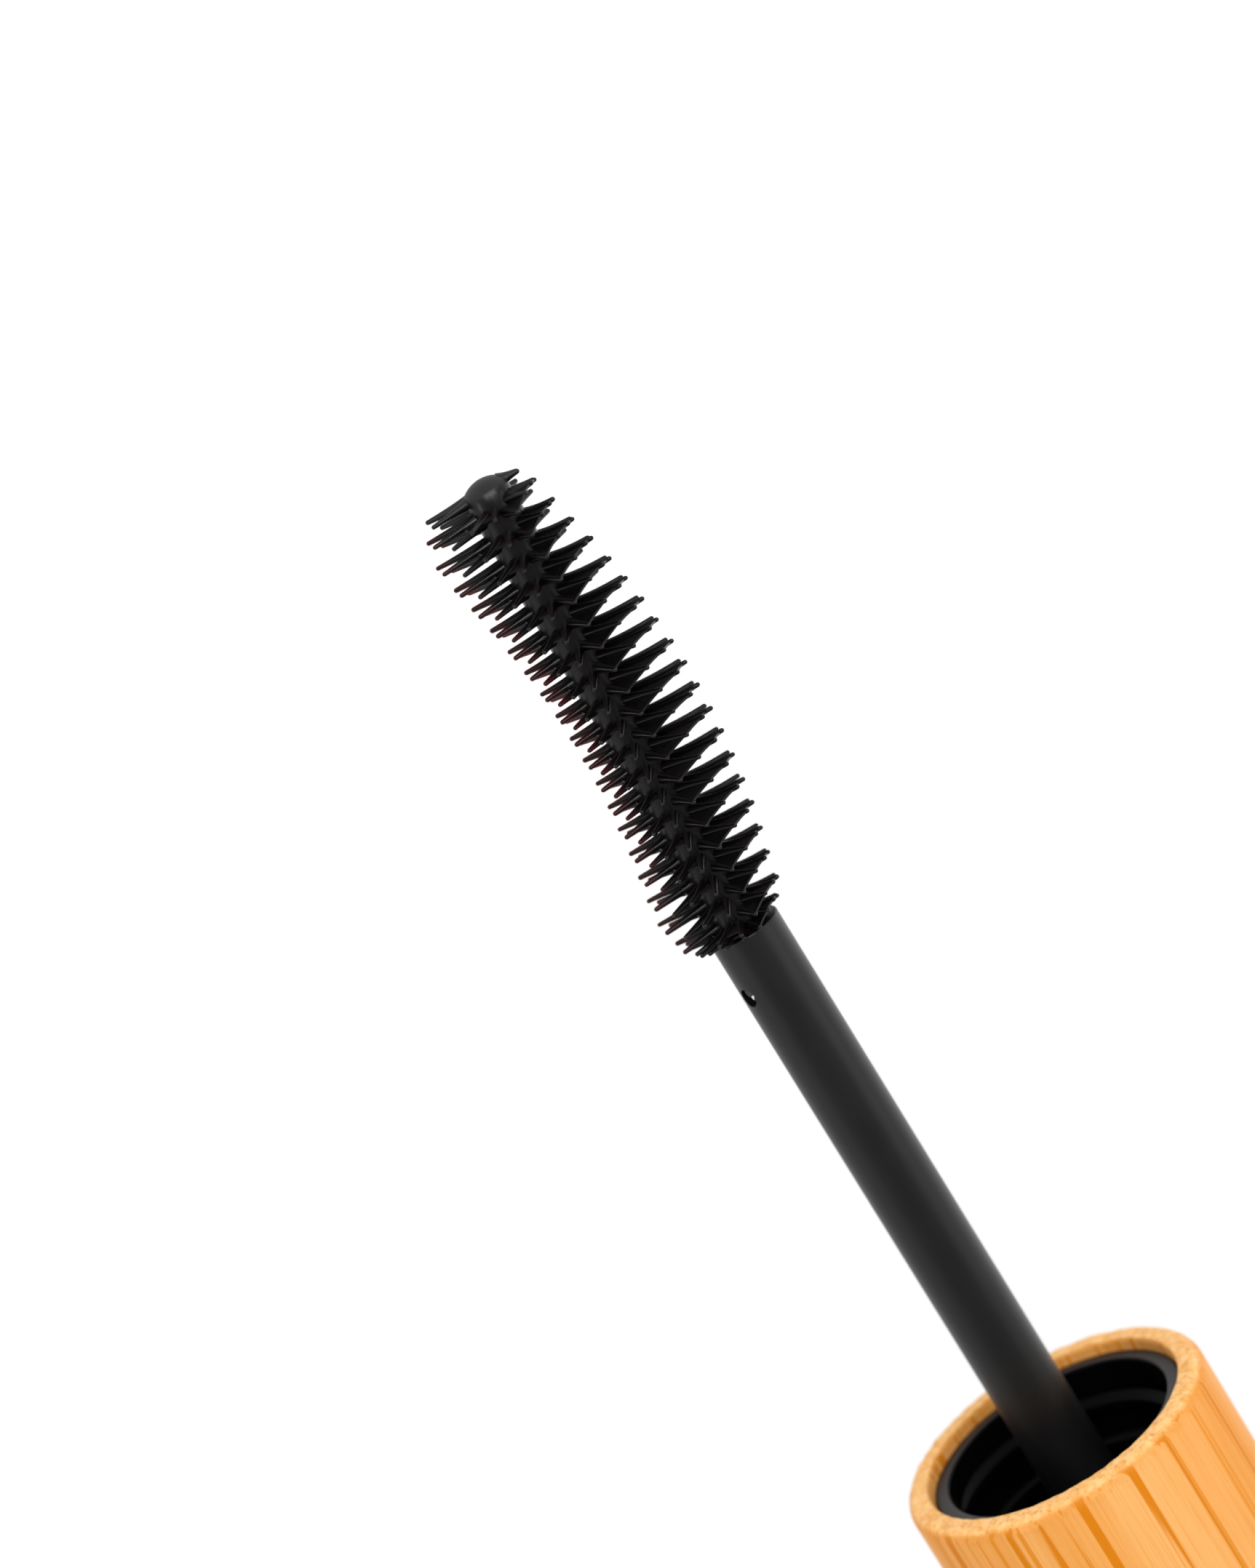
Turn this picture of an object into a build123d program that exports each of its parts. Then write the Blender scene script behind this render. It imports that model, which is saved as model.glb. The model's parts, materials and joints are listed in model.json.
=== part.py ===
from build123d import *
import math
import os

# Refillable mascara: a bamboo tube with a plastic vial, and a bamboo cap that carries the wand.
# Millimetres. The origin is the centre of the tube's base and +Z points up, out of the neck.
# Everything is drawn with the wand drawn straight up out of the tube, its brush hanging down.
# Heights named *_z are above the tube's base. Depths named *_depth are measured from the cap's
# rim: positive into the cap, negative down the wand.

# Bamboo sleeves
SLEEVE_RADIUS = 10.0
SLEEVE_BORE_RADIUS = 8.4
TUBE_HEIGHT = 71.0
TUBE_FLOOR = 2.4
CAP_LENGTH = 50.0
CAP_BORE_DEPTH = 40.2
RIM_ROUNDING = 0.75
BORE_EDGE_ROUNDING = 0.3
END_ROUNDING = 1.2

# Glued plastic liners of the sleeves
GLUE_LINE = 0.05
LINER_RADIUS = SLEEVE_BORE_RADIUS - GLUE_LINE
PLASTIC_ROUNDING = 0.25

# Cap insert
INSERT_RECESS = 0.7
INSERT_BORE_RADIUS = 7.35
CEILING_DEPTH = 14.0
WEB_THICKNESS = 1.5
INSERT_END_DEPTH = CAP_BORE_DEPTH - 0.2
SOCKET_RADIUS = 3.2
SOCKET_START_DEPTH = 10.5
SOCKET_END_DEPTH = 30.0
SOCKET_ROOF = 1.5
INSERT_RIB_COUNT = 4
INSERT_RIB_THICKNESS = 1.0

# Screw thread, right-handed with a single start
PITCH = 2.75
TURNS_TO_OPEN = 1.25
THREAD_RISE = PITCH * TURNS_TO_OPEN
CAP_THREAD_CREST_RADIUS = 6.75
CAP_THREAD_START_DEPTH = 2.65
CAP_THREAD_START_TURN = 10.0
CAP_THREAD_TURNS = 1.5
NECK_THREAD_CREST_RADIUS = 7.1
NECK_THREAD_TURNS = 1.12
THREAD_ROOT_WIDTH = 1.3
THREAD_CREST_WIDTH = 0.6
THREAD_EMBED = 0.2

# Sealing washer, loose above the cap's thread
WASHER_RADIUS = 7.1
WASHER_HOLE_RADIUS = 4.0
WASHER_THICKNESS = 1.0
SEAL_GAP = 0.03

# Vial
CLOSED_RIM_GAP = 0.3
VIAL_INNER_RADIUS = 7.2
VIAL_FLOOR = 1.0
SHOULDER_RADIUS = 8.2
SHOULDER_PROUD = 0.6
SHOULDER_INSIDE_DROP = 3.0
NECK_RADIUS = 6.5
NECK_BORE_RADIUS = 5.4
NECK_SEAT_RADIUS = 6.05
NECK_SEAT_DEPTH = 0.8

# Wiper
WIPER_CLEARANCE = 0.05
WIPER_WALL = 0.7
WIPER_LENGTH = 11.0
WIPER_LIP_LENGTH = 1.2
WIPER_BEAD_HEIGHT = 0.22
WIPER_BEAD_DEPTH = 3.2

# Rod
ROD_RADIUS = 2.2
ROD_BORE_RADIUS = 1.75
ROD_EXPOSED = 36.65
ROD_RUNNING_CLEARANCE = 0.06
SOCKET_BITE = 0.02
LOCK_HOLE_RADIUS = 0.6
LOCK_HOLE_DEPTH = -33.1
LOCK_HOLE_TURN = 29.0
LOCK_HOLE_STAGGER = 0.6

# Brush
BRUSH_LENGTH = 30.2
CORE_RADIUS = 1.4
CORE_LEAN = 0.5
SHANK_LENGTH = 12.0
SHANK_RADIUS = ROD_BORE_RADIUS - 0.01
SHANK_WAIST_RADIUS = 1.2
LOCK_LUG_RADIUS = 0.3
LOCK_LUG_OFFSET = -0.27
LOCK_LUG_REACH = 2.0
TIP_DOME = 0.6
RING_COUNT = 19
RING_PITCH = 1.515
END_RING_GAP = 1.0
FIRST_RING_INSET = 0.7
BRISTLES_PER_RING = 16
BRISTLE_PHASE = 6.0
RING_THICKNESS = 0.42
RING_VALLEY_RADIUS = 1.75
ENVELOPE_RADIUS = 4.03
ENVELOPE_BULGE = 1.19
ENVELOPE_RETURN = 2.3
ENVELOPE_RETURN_LIMIT = 0.3
ENVELOPE_END_LOSS = 0.43
ENVELOPE_END_SHARPNESS = 11

# Mascara
PASTE_TOP_Z = 44.0
PASTE_HOLLOW_RADIUS = 5.7
PASTE_BASE = 0.8

# Resting place of the wand
BRUSH_CLEAR_OF_NECK = 42.0

# Heights that follow from the dimensions above
CLOSED_RIM_Z = TUBE_HEIGHT + CLOSED_RIM_GAP
NECK_TOP_Z = CLOSED_RIM_Z + CEILING_DEPTH - WASHER_THICKNESS - 2 * SEAL_GAP
SHOULDER_Z = TUBE_HEIGHT + SHOULDER_PROUD
WAND_LENGTH = ROD_EXPOSED + BRUSH_LENGTH
CAP_RIM_Z = NECK_TOP_Z + BRUSH_CLEAR_OF_NECK + WAND_LENGTH
WAND_TRAVEL = CAP_RIM_Z - CLOSED_RIM_Z - THREAD_RISE


def turned(corners):
    """Solid of revolution about Z from the (radius, height) corners of its section."""
    outline = Polyline(*[(radius, 0, height) for radius, height in corners], close=True)
    return revolve(make_face(outline), Axis.Z)


def round_edges(solid, radius, height, rounding):
    """Round the circular edge that lies at this radius and height."""
    chosen = [
        edge
        for edge in solid.edges().filter_by(GeomType.CIRCLE)
        if abs(edge.radius - radius) < 0.01 and abs(edge.center().Z - height) < 0.01
    ]
    return fillet(chosen, rounding)


def cylinder_between(radius, low, high):
    """Cylinder about Z from one height to another."""
    return Pos(0, 0, low) * Cylinder(radius, high - low, align=(Align.CENTER, Align.CENTER, Align.MIN))


def thread_rib(root_radius, crest_radius, start, start_turn, turns):
    """Right-handed helical rib whose root is sunk a little into the wall that carries it."""
    outward = 1 if crest_radius > root_radius else -1
    path = Helix(PITCH, PITCH * turns, root_radius)
    path = Pos(0, 0, start) * path
    section_plane = Plane(path @ 0, x_dir=(1, 0, 0), z_dir=path % 0)
    reach = abs(crest_radius - root_radius)
    section = section_plane * Polygon(
        (-outward * THREAD_EMBED, -THREAD_ROOT_WIDTH / 2),
        (-outward * THREAD_EMBED, THREAD_ROOT_WIDTH / 2),
        (outward * reach, THREAD_CREST_WIDTH / 2),
        (outward * reach, -THREAD_CREST_WIDTH / 2),
        align=None,
    )
    return Rot(0, 0, start_turn) * sweep(section, path=path, is_frenet=True)


def lifted(shape):
    """Move a shape drawn in cap depths to where the withdrawn wand rests."""
    return Pos(0, 0, CAP_RIM_Z) * shape


# --- tube ---------------------------------------------------------------------------------

def make_tube_shell():
    """Turned bamboo cup with a blind floor."""
    shell = turned([
        (0, 0),
        (SLEEVE_RADIUS, 0),
        (SLEEVE_RADIUS, TUBE_HEIGHT),
        (SLEEVE_BORE_RADIUS, TUBE_HEIGHT),
        (SLEEVE_BORE_RADIUS, TUBE_FLOOR),
        (0, TUBE_FLOOR),
    ])
    shell = round_edges(shell, SLEEVE_RADIUS, TUBE_HEIGHT, RIM_ROUNDING)
    shell = round_edges(shell, SLEEVE_BORE_RADIUS, TUBE_HEIGHT, BORE_EDGE_ROUNDING)
    return round_edges(shell, SLEEVE_RADIUS, 0, RIM_ROUNDING)


def make_vial():
    """Blown plastic vial with a proud shoulder, a threaded neck and a seat for the wiper."""
    inside_shoulder_z = SHOULDER_Z - SHOULDER_INSIDE_DROP
    neck_bore_start_z = inside_shoulder_z + VIAL_INNER_RADIUS - NECK_BORE_RADIUS
    bead_z = NECK_TOP_Z - WIPER_BEAD_DEPTH
    bead_radius = NECK_BORE_RADIUS + WIPER_BEAD_HEIGHT
    vial = turned([
        (0, TUBE_FLOOR),
        (LINER_RADIUS, TUBE_FLOOR),
        (LINER_RADIUS, TUBE_HEIGHT),
        (SHOULDER_RADIUS, TUBE_HEIGHT),
        (SHOULDER_RADIUS, SHOULDER_Z),
        (NECK_RADIUS, SHOULDER_Z),
        (NECK_RADIUS, NECK_TOP_Z),
        (NECK_SEAT_RADIUS, NECK_TOP_Z),
        (NECK_SEAT_RADIUS, NECK_TOP_Z - NECK_SEAT_DEPTH),
        (NECK_BORE_RADIUS, NECK_TOP_Z - NECK_SEAT_DEPTH),
        (NECK_BORE_RADIUS, bead_z + WIPER_BEAD_HEIGHT),
        (bead_radius, bead_z),
        (NECK_BORE_RADIUS, bead_z - WIPER_BEAD_HEIGHT),
        (NECK_BORE_RADIUS, neck_bore_start_z),
        (VIAL_INNER_RADIUS, inside_shoulder_z),
        (VIAL_INNER_RADIUS, TUBE_FLOOR + VIAL_FLOOR),
        (0, TUBE_FLOOR + VIAL_FLOOR),
    ])
    vial = round_edges(vial, SHOULDER_RADIUS, SHOULDER_Z, PLASTIC_ROUNDING)
    start = CLOSED_RIM_Z + CAP_THREAD_START_DEPTH + PITCH / 2
    start_turn = CAP_THREAD_START_TURN - 360 * TURNS_TO_OPEN
    return vial + thread_rib(
        NECK_RADIUS, NECK_THREAD_CREST_RADIUS, start, start_turn, NECK_THREAD_TURNS
    )


def make_wiper():
    """Flanged rubber funnel whose lip strokes the rod."""
    top = NECK_TOP_Z - WIPER_CLEARANCE / 2
    flange_radius = NECK_SEAT_RADIUS - WIPER_CLEARANCE
    flange_bottom = NECK_TOP_Z - NECK_SEAT_DEPTH + WIPER_CLEARANCE / 2
    barrel_radius = NECK_BORE_RADIUS - WIPER_CLEARANCE
    bead_z = NECK_TOP_Z - WIPER_BEAD_DEPTH
    bottom = top - WIPER_LENGTH
    orifice_radius = ROD_RADIUS + ROD_RUNNING_CLEARANCE
    funnel_start = bottom + WIPER_LENGTH / 2
    return turned([
        (barrel_radius - WIPER_WALL, top),
        (flange_radius, top),
        (flange_radius, flange_bottom),
        (barrel_radius, flange_bottom),
        (barrel_radius, bead_z + WIPER_BEAD_HEIGHT),
        (barrel_radius + WIPER_BEAD_HEIGHT, bead_z),
        (barrel_radius, bead_z - WIPER_BEAD_HEIGHT),
        (barrel_radius, funnel_start),
        (orifice_radius + WIPER_WALL, bottom + WIPER_LIP_LENGTH),
        (orifice_radius + WIPER_WALL / 2, bottom),
        (orifice_radius, bottom),
        (orifice_radius, bottom + WIPER_LIP_LENGTH),
        (barrel_radius - WIPER_WALL, funnel_start),
    ])


def make_mascara_paste():
    """Mascara against the vial's wall and floor, hollowed where the brush stands."""
    floor = TUBE_FLOOR + VIAL_FLOOR
    return turned([
        (0, floor),
        (VIAL_INNER_RADIUS, floor),
        (VIAL_INNER_RADIUS, PASTE_TOP_Z),
        (PASTE_HOLLOW_RADIUS, PASTE_TOP_Z),
        (PASTE_HOLLOW_RADIUS, floor + PASTE_BASE),
        (0, floor + PASTE_BASE),
    ])


# --- cap and wand, drawn in cap depths ----------------------------------------------------

def make_cap_shell():
    """Turned bamboo sleeve with a solid top."""
    shell = turned([
        (SLEEVE_BORE_RADIUS, 0),
        (SLEEVE_RADIUS, 0),
        (SLEEVE_RADIUS, CAP_LENGTH),
        (0, CAP_LENGTH),
        (0, CAP_BORE_DEPTH),
        (SLEEVE_BORE_RADIUS, CAP_BORE_DEPTH),
    ])
    shell = round_edges(shell, SLEEVE_RADIUS, 0, RIM_ROUNDING)
    shell = round_edges(shell, SLEEVE_BORE_RADIUS, 0, BORE_EDGE_ROUNDING)
    return round_edges(shell, SLEEVE_RADIUS, CAP_LENGTH, END_ROUNDING)


def make_inner_cap():
    """Moulded insert: threaded cup below a web, and above it a ribbed skirt round the rod's socket."""
    insert = turned([
        (INSERT_BORE_RADIUS, INSERT_RECESS),
        (LINER_RADIUS, INSERT_RECESS),
        (LINER_RADIUS, INSERT_END_DEPTH),
        (INSERT_BORE_RADIUS, INSERT_END_DEPTH),
        (INSERT_BORE_RADIUS, CEILING_DEPTH + WEB_THICKNESS),
        (SOCKET_RADIUS, CEILING_DEPTH + WEB_THICKNESS),
        (SOCKET_RADIUS, SOCKET_END_DEPTH),
        (0, SOCKET_END_DEPTH),
        (0, SOCKET_END_DEPTH - SOCKET_ROOF),
        (ROD_RADIUS - SOCKET_BITE, SOCKET_END_DEPTH - SOCKET_ROOF),
        (ROD_RADIUS - SOCKET_BITE, SOCKET_START_DEPTH),
        (SOCKET_RADIUS, SOCKET_START_DEPTH),
        (SOCKET_RADIUS, CEILING_DEPTH),
        (INSERT_BORE_RADIUS, CEILING_DEPTH),
    ])
    insert = round_edges(insert, LINER_RADIUS, INSERT_RECESS, PLASTIC_ROUNDING)
    insert = round_edges(insert, INSERT_BORE_RADIUS, INSERT_RECESS, PLASTIC_ROUNDING)
    rib_low = CEILING_DEPTH + WEB_THICKNESS / 2
    rib_start = (ROD_RADIUS + SOCKET_RADIUS) / 2
    rib_end = (INSERT_BORE_RADIUS + LINER_RADIUS) / 2
    rib = Pos(rib_start, 0, rib_low) * Box(
        rib_end - rib_start,
        INSERT_RIB_THICKNESS,
        SOCKET_END_DEPTH - rib_low,
        align=(Align.MIN, Align.CENTER, Align.MIN),
    )
    for number in range(INSERT_RIB_COUNT):
        insert += Rot(0, 0, number * 360 / INSERT_RIB_COUNT) * rib
    return insert + thread_rib(
        INSERT_BORE_RADIUS,
        CAP_THREAD_CREST_RADIUS,
        CAP_THREAD_START_DEPTH,
        CAP_THREAD_START_TURN,
        CAP_THREAD_TURNS,
    )


def make_cap_washer():
    """Sealing washer: free between the web and the top of the cap's thread."""
    top = CEILING_DEPTH - SEAL_GAP - THREAD_RISE
    return cylinder_between(WASHER_RADIUS, top - WASHER_THICKNESS, top) - cylinder_between(
        WASHER_HOLE_RADIUS, top - 2 * WASHER_THICKNESS, top + WASHER_THICKNESS
    )


def radial_pin(radius, depth, reach, turn):
    """Round pin from the rod's axis outwards, turned about that axis from +X."""
    pin = Rot(0, 90, 0) * Cylinder(radius, reach, align=(Align.CENTER, Align.CENTER, Align.MIN))
    return Pos(0, 0, depth) * Rot(0, 0, turn) * pin


def make_wand_rod():
    """Hollow rod with the window that locks the brush, and a second one beside it."""
    top = SOCKET_END_DEPTH - SOCKET_ROOF
    rod = cylinder_between(ROD_RADIUS, -ROD_EXPOSED, top) - cylinder_between(
        ROD_BORE_RADIUS, -ROD_EXPOSED, top
    )
    front = radial_pin(LOCK_HOLE_RADIUS, LOCK_HOLE_DEPTH, 2 * ROD_RADIUS, -LOCK_HOLE_TURN)
    back_depth = LOCK_HOLE_DEPTH + LOCK_HOLE_STAGGER
    back = radial_pin(LOCK_HOLE_RADIUS, back_depth, 2 * ROD_RADIUS, LOCK_HOLE_TURN)
    return rod - front - back


def core_centre(depth):
    """Sideways place of the brush's core, which leans a little."""
    return -CORE_LEAN * (-depth - ROD_EXPOSED) / BRUSH_LENGTH


def ring_depths():
    """Depths of the bristle rings: an even row of them, and a closer one at each end."""
    first = -WAND_LENGTH + FIRST_RING_INSET
    row = [first + END_RING_GAP + number * RING_PITCH for number in range(RING_COUNT)]
    return [first] + row + [row[-1] + END_RING_GAP]


def envelope(depth):
    """Centre offset and radius of the curved surface that the bristles' tips lie on."""
    rings = ring_depths()
    along = (2 * depth - rings[0] - rings[-1]) / (rings[-1] - rings[0])
    centre = min(ENVELOPE_RETURN_LIMIT, -ENVELOPE_BULGE + ENVELOPE_RETURN * along ** 2)
    end_loss = ENVELOPE_END_LOSS * min(1.0, abs(along)) ** ENVELOPE_END_SHARPNESS
    return centre, ENVELOPE_RADIUS * math.sqrt(1 - end_loss)


def bristle_tips(depth):
    """Tips of one ring, evenly turned round the core, from the core's centre to the envelope."""
    centre, radius = envelope(depth)
    offset = centre - core_centre(depth)
    tips = []
    for number in range(BRISTLES_PER_RING):
        turn = math.radians(BRISTLE_PHASE + 360 * number / BRISTLES_PER_RING)
        across = offset * math.cos(turn)
        reach = across + math.sqrt(across ** 2 + radius ** 2 - offset ** 2)
        tips.append((reach * math.cos(turn), reach * math.sin(turn)))
    return tips


def bristle_ring(depth):
    """One ring of bristles as a star-shaped plate, pointed at each tip."""
    tips = bristle_tips(depth)
    corners = []
    for tip, next_tip in zip(tips, tips[1:] + tips[:1]):
        between = (tip[0] + next_tip[0], tip[1] + next_tip[1])
        shrink = RING_VALLEY_RADIUS / math.hypot(*between)
        corners += [tip, (between[0] * shrink, between[1] * shrink)]
    star = extrude(Polygon(*corners, align=None), RING_THICKNESS)
    return Pos(core_centre(depth), 0, depth - RING_THICKNESS / 2) * star


def make_brush():
    """Moulded brush: shank locked in the rod, leaning core with a domed end, rings of bristles."""
    lean = math.degrees(math.atan2(CORE_LEAN, BRUSH_LENGTH))
    core = cylinder_between(CORE_RADIUS, -BRUSH_LENGTH + TIP_DOME, 0)
    dome_radius = (CORE_RADIUS ** 2 + TIP_DOME ** 2) / (2 * TIP_DOME)
    dome = Pos(0, 0, -BRUSH_LENGTH + dome_radius) * Sphere(dome_radius)
    dome &= cylinder_between(CORE_RADIUS, -BRUSH_LENGTH, -BRUSH_LENGTH + TIP_DOME)
    brush = Pos(0, 0, -ROD_EXPOSED) * Rot(0, lean, 0) * (core + dome)
    for depth in ring_depths():
        brush += bristle_ring(depth)
    waist_low = LOCK_HOLE_DEPTH - 2 * LOCK_HOLE_RADIUS
    waist_high = LOCK_HOLE_DEPTH + 2 * LOCK_HOLE_RADIUS
    shank_top = SHANK_LENGTH - ROD_EXPOSED
    brush += cylinder_between(SHANK_RADIUS, -ROD_EXPOSED, waist_low)
    brush += cylinder_between(SHANK_WAIST_RADIUS, waist_low, waist_high)
    brush += cylinder_between(SHANK_RADIUS, waist_high, shank_top)
    lug_depth = LOCK_HOLE_DEPTH + LOCK_LUG_OFFSET
    return brush + radial_pin(LOCK_LUG_RADIUS, lug_depth, LOCK_LUG_REACH, -LOCK_HOLE_TURN)


# --- write every piece --------------------------------------------------------------------

PIECES = {
    "tube_shell": make_tube_shell(),
    "vial": make_vial(),
    "wiper": make_wiper(),
    "mascara_paste": make_mascara_paste(),
    "cap_shell": lifted(make_cap_shell()),
    "inner_cap": lifted(make_inner_cap()),
    "cap_washer": lifted(make_cap_washer()),
    "wand_rod": lifted(make_wand_rod()),
    "brush": lifted(make_brush()),
}

os.makedirs("parts", exist_ok=True)
for name, piece in PIECES.items():
    export_step(piece, f"parts/{name}.step")

print(f"cap rim at rest {CAP_RIM_Z:.4f}, wand travel {WAND_TRAVEL:.4f}, thread rise {THREAD_RISE:.4f}")
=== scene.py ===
"""Bamboo mascara with its wand drawn out: the looks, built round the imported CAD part.

Lengths are in millimetres, and become metres where an object or a mesh is made. Turns are
counted about the tube's axis, from +X, anticlockwise seen from above. The camera looks from -Y.
"""
import json
import math
import random

import bmesh
import bpy
from mathutils import Matrix, Vector


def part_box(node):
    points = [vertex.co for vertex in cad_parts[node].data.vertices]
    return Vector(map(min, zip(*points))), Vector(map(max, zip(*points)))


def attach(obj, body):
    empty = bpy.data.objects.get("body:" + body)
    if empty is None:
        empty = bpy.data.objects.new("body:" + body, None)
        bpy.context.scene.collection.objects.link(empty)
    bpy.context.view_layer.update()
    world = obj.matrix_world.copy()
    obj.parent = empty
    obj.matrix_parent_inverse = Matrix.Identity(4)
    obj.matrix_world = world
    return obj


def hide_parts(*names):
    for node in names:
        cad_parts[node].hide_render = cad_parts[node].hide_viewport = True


MM = 0.001

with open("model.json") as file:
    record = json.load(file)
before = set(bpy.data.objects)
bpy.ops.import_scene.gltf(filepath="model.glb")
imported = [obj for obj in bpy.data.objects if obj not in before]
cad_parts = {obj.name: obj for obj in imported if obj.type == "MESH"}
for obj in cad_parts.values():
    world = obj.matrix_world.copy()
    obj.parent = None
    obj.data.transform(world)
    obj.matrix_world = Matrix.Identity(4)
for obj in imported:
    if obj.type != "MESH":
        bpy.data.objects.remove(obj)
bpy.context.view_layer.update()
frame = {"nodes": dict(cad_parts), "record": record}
behaviour = frame["record"]["behaviour"]

# --- sizes, in millimetres, taken from the frame -------------------------------------------


def box_mm(node):
    """Lowest and highest corner of a CAD node, in millimetres."""
    low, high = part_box(node)
    return low / MM, high / MM


cap_low, cap_high = box_mm("cap_shell")
insert_low, insert_high = box_mm("inner_cap")
rod_low, rod_high = box_mm("wand_rod")
brush_low, _ = box_mm("brush")
_, tube_high = box_mm("tube_shell")
vial_low, vial_high = box_mm("vial")
wiper_low, wiper_high = box_mm("wiper")

RIM_Z = cap_low.z
CAP_TOP_Z = cap_high.z
SLEEVE_R = cap_high.x
INSERT_R = insert_high.x
INSERT_LOW_Z = insert_low.z
INSERT_TOP_Z = insert_high.z
ROD_R = rod_high.x
ROD_TOP_Z = rod_high.z
JUNCTION_Z = rod_low.z
BRUSH_TIP_Z = brush_low.z
TUBE_TOP_Z = tube_high.z
VIAL_LOW_Z = vial_low.z
NECK_TOP_Z = vial_high.z
WIPER_LOW_Z = wiper_low.z
WIPER_TOP_Z = wiper_high.z
PITCH = behaviour["couplings"][0]["ratio"] * 2 * math.pi / MM
TURNS_TO_OPEN = -behaviour["joints"][0]["range_deg"][0] / 360

# --- sizes that a node's box doesn't give ---------------------------------------------------

# Sleeves
GLUE_GAP = 0.05
SLEEVE_BORE_R = INSERT_R + GLUE_GAP
CAP_BORE_TOP_Z = INSERT_TOP_Z + 0.2
RIM_ROUNDING = 0.75
BORE_ROUNDING = 0.3
CAP_END_ROUNDING = 1.2

# Insert: its ceiling, and the socket through it that grips the rod
INSERT_BORE_R = 7.35
CEILING_Z = RIM_Z + 14.0
WEB = 1.5
SOCKET_R = 3.2
SOCKET_LOW_Z = RIM_Z + 10.5
SOCKET_ROOF = 1.5

# Thread in the insert, and the neck's rib that meets it when the cap is screwed down
THREAD_CREST_R = 6.75
THREAD_START_Z = RIM_Z + 2.65
THREAD_START_TURN = math.radians(10.0)
THREAD_TURNS = 1.5
NECK_THREAD_TURNS = 1.12
NECK_THREAD_CREST_R = 7.1
CLOSED_RIM_Z = TUBE_TOP_Z + 0.3
THREAD_ROOT_WIDTH = 1.3
THREAD_CREST_WIDTH = 0.6
THREAD_STEPS_IN_A_TURN = 96
THREAD_RUN_OUT = 0.12
THREAD_END_SIZE = 0.35
THREAD_END_HEIGHT = 0.02
THREAD_BURIED = 0.15
THREAD_FLANK = 0.08
THREAD_SOFTNESS = 0.12

# Vial, its neck, and the bead that holds the wiper
NECK_R = 6.5
NECK_BORE_R = 5.4
SEAT_R = 6.05
SEAT_DEPTH = 0.8
BEAD_Z = NECK_TOP_Z - 3.2
BEAD = 0.22
SHOULDER_R = 8.2
SHOULDER_Z = TUBE_TOP_Z + 0.6
INNER_SHOULDER_Z = SHOULDER_Z - 3.0
VIAL_BORE_R = 7.2
VIAL_FLOOR = 1.0

# Wiper
WIPER_PLAY = 0.05
WIPER_WALL = 0.7
WIPER_LIP_R = ROD_R + 0.06
WIPER_LIP_HEIGHT = 1.2

# Rod, its two windows, and the brush's lug in the front one
ROD_BORE_R = 1.75
LOCK_R = 0.6
LOCK_Z = RIM_Z - 33.1
LOCK_TURN = math.radians(-29.0)
BACK_HOLE_Z = LOCK_Z + 0.6
BACK_HOLE_TURN = -LOCK_TURN
LUG_R = 0.3
LUG_REACH = 2.0
LUG_Z = LOCK_Z - 0.27

# Brush: its core and shank
CORE_R = 1.4
CORE_LEAN = 0.5
BRUSH_LENGTH = JUNCTION_Z - BRUSH_TIP_Z
TIP_DOME = 0.6
SHANK_R = ROD_BORE_R - 0.02
SHANK_LENGTH = 12.0
WAIST_R = 1.2

# Brush: an even row of rings with a closer one at each end, and the turns of a ring's bristles
EVEN_RINGS = 19
RING_PITCH = 1.515
END_RING_GAP = 1.0
FIRST_RING_Z = BRUSH_TIP_Z + 0.7
EVEN_ROW = [FIRST_RING_Z + END_RING_GAP + RING_PITCH * number for number in range(EVEN_RINGS)]
LAST_RING_Z = EVEN_ROW[-1] + END_RING_GAP
RING_HEIGHTS = [FIRST_RING_Z, *EVEN_ROW, LAST_RING_Z]
BRISTLES = 16
BRISTLE_STEP = 360 / BRISTLES
BRISTLE_PHASE = 6.0
TURNS = [BRISTLE_PHASE + BRISTLE_STEP * number for number in range(BRISTLES)]

# Brush: the curved surface that the tips lie on
ENVELOPE_R = 4.03
ENVELOPE_BULGE = 1.19
ENVELOPE_RETURN = 2.3
ENVELOPE_RETURN_LIMIT = 0.3
ENVELOPE_END_LOSS = 0.43
ENVELOPE_END_SHARPNESS = 11

# Brush: one bristle, and how much they differ from each other
ROOT_DEPTH = 0.4
BRISTLE_ROOT_R = 0.4
LONG_BRISTLE_ROOT_R = 0.56
BRISTLE_MIDDLE_R = 0.235
BRISTLE_TIP_R = 0.135
FLARE_POWER = 2.6
TAPER_POWER = 1.6
TIP_SCATTER = 0.09
LENGTH_SCATTER = 0.012
GIRTH_LEAST = 0.94
GIRTH_SCATTER = 0.16

# Brush: ranges of turns, in degrees, in which the bristles differ from the others
BACK_TURNS = (15, 155)
BULGE_TURNS = (150, 220)
BARE_DOME_TURNS = (200, 340)
FRONT_TURNS = (240, 270)
OUTER_TURNS = (-50, -30)
FRONT_ROW_RISE = 0.55
OUTER_ROW_RISE = 0.3
CLIMB_BY_TIP = 0.15
CLIMB_GAIN = 1.3
CLIMB_MOST = 0.85
TIP_LEAN = 0.13
ROD_CLEARANCE = 0.25

# Brush: films between neighbours, as ranges of turns and the share of the length they cover
FILM_REACHES = (
    ((185, 260), 0.97),
    ((275, 310), 0.62),
    ((310, 345), 0.42),
    ((60, 120), 0.5),
)
FILM_SCATTER = 0.06
FILM_LEAST = 0.2
FILM_HOLLOW = 0.02
FILM_THICKNESS = 0.12


# --- mesh helpers ---------------------------------------------------------------------------


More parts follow.
